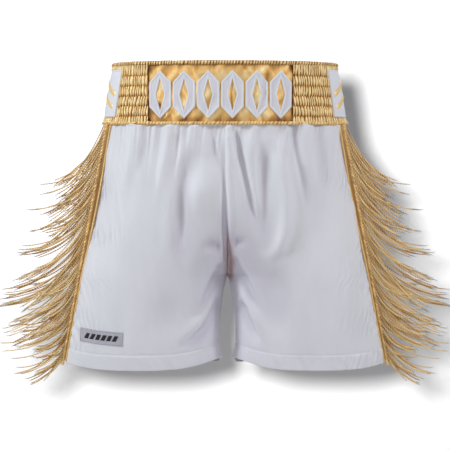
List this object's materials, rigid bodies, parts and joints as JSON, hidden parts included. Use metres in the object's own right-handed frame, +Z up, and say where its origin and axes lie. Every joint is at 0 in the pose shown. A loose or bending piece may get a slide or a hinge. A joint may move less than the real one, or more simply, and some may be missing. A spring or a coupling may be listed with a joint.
{
  "type": "boxing shorts",
  "caption": "Wide satin boxing shorts with a deep shirred elastic waistband, appliqué blocks on its front, and a swinging cord fringe down each side seam.",
  "frame": {"origin": "middle of the waist opening, in the plane of the waistband's top edge", "axes": "+Z up out of the waist opening, -Y towards the front with the appliqué blocks, +X across the waist"},
  "size_m": [0.717, 0.1834, 0.5237],
  "materials": {
    "elastic_white": "woven rubber-core elastic",
    "lining_white": "plain woven cotton",
    "gold_satin": "metallic gold satin",
    "gold_piping": "pale gold folded satin",
    "white_satin": "white polyester satin",
    "white_applique": "white satin with stitched edge",
    "gold_thread": "gold embroidery thread and cord",
    "fringe_gold": "twisted gold cord",
    "label_white": "woven ribbon",
    "label_grey": "woven label",
    "label_print": "black print"
  },
  "bodies": {
    "shorts": {"waist_elastic": "elastic_white", "waistband_lining": "lining_white", "waistband_centre_panel": "gold_satin", "waistband_shirred_cover": "gold_satin", "top_edge_roll": "gold_satin", "waist_seam_piping": "gold_piping", "waistband_left_patch": "white_satin", "waistband_right_patch": "white_satin", "left_patch_chevrons": "gold_thread", "right_patch_chevrons": "gold_thread", "applique_block_1": "white_applique", "applique_block_2": "white_applique", "applique_block_3": "white_applique", "applique_block_4": "white_applique", "applique_block_5": "white_applique", "applique_block_6": "white_applique", "left_front_panel": "white_satin", "left_back_panel": "white_satin", "right_front_panel": "white_satin", "right_back_panel": "white_satin", "left_side_stripe": "gold_satin", "right_side_stripe": "gold_satin", "left_hem_fold": "white_satin", "right_hem_fold": "white_satin", "leg_label": "label_grey", "leg_label_mark": "label_print", "left_fringe_header": "gold_thread", "right_fringe_header": "gold_thread"},
    "care_label": {"care_label": "label_white"},
    "left_fringe_1": {"left_fringe_1": "fringe_gold"},
    "left_fringe_2": {"left_fringe_2": "fringe_gold"},
    "left_fringe_3": {"left_fringe_3": "fringe_gold"},
    "left_fringe_4": {"left_fringe_4": "fringe_gold"},
    "left_fringe_5": {"left_fringe_5": "fringe_gold"},
    "right_fringe_1": {"right_fringe_1": "fringe_gold"},
    "right_fringe_2": {"right_fringe_2": "fringe_gold"},
    "right_fringe_3": {"right_fringe_3": "fringe_gold"},
    "right_fringe_4": {"right_fringe_4": "fringe_gold"},
    "right_fringe_5": {"right_fringe_5": "fringe_gold"}
  },
  "joints": [
    {"name": "left_fringe_1_swing", "type": "hinge", "parent": "shorts", "child": "left_fringe_1", "pos_m": [-0.19301, -0.03304, -0.13547], "axis": [0.1959, 0.0013, 0.9806], "range_deg": [-50, 90]},
    {"name": "left_fringe_2_swing", "type": "hinge", "parent": "shorts", "child": "left_fringe_2", "pos_m": [-0.20826, -0.03314, -0.21181], "axis": [0.1959, 0.0013, 0.9806], "range_deg": [-50, 90]},
    {"name": "left_fringe_3_swing", "type": "hinge", "parent": "shorts", "child": "left_fringe_3", "pos_m": [-0.22351, -0.03324, -0.28815], "axis": [0.1959, 0.0013, 0.9806], "range_deg": [-50, 90]},
    {"name": "left_fringe_4_swing", "type": "hinge", "parent": "shorts", "child": "left_fringe_4", "pos_m": [-0.23876, -0.03334, -0.36449], "axis": [0.1959, 0.0013, 0.9806], "range_deg": [-50, 90]},
    {"name": "left_fringe_5_swing", "type": "hinge", "parent": "shorts", "child": "left_fringe_5", "pos_m": [-0.25401, -0.03344, -0.44083], "axis": [0.1959, 0.0013, 0.9806], "range_deg": [-50, 90]},
    {"name": "right_fringe_1_swing", "type": "hinge", "parent": "shorts", "child": "right_fringe_1", "pos_m": [0.19301, -0.03304, -0.13547], "axis": [0.1959, -0.0013, -0.9806], "range_deg": [-50, 90]},
    {"name": "right_fringe_2_swing", "type": "hinge", "parent": "shorts", "child": "right_fringe_2", "pos_m": [0.20826, -0.03314, -0.21181], "axis": [0.1959, -0.0013, -0.9806], "range_deg": [-50, 90]},
    {"name": "right_fringe_3_swing", "type": "hinge", "parent": "shorts", "child": "right_fringe_3", "pos_m": [0.22351, -0.03324, -0.28815], "axis": [0.1959, -0.0013, -0.9806], "range_deg": [-50, 90]},
    {"name": "right_fringe_4_swing", "type": "hinge", "parent": "shorts", "child": "right_fringe_4", "pos_m": [0.23876, -0.03334, -0.36449], "axis": [0.1959, -0.0013, -0.9806], "range_deg": [-50, 90]},
    {"name": "right_fringe_5_swing", "type": "hinge", "parent": "shorts", "child": "right_fringe_5", "pos_m": [0.25401, -0.03344, -0.44083], "axis": [0.1959, -0.0013, -0.9806], "range_deg": [-50, 90]},
    {"name": "care_label_flip", "type": "hinge", "parent": "shorts", "child": "care_label", "pos_m": [0, 0.079, -0.098], "axis": [-1, 0, 0], "range_deg": [0, 120]}
  ]
}
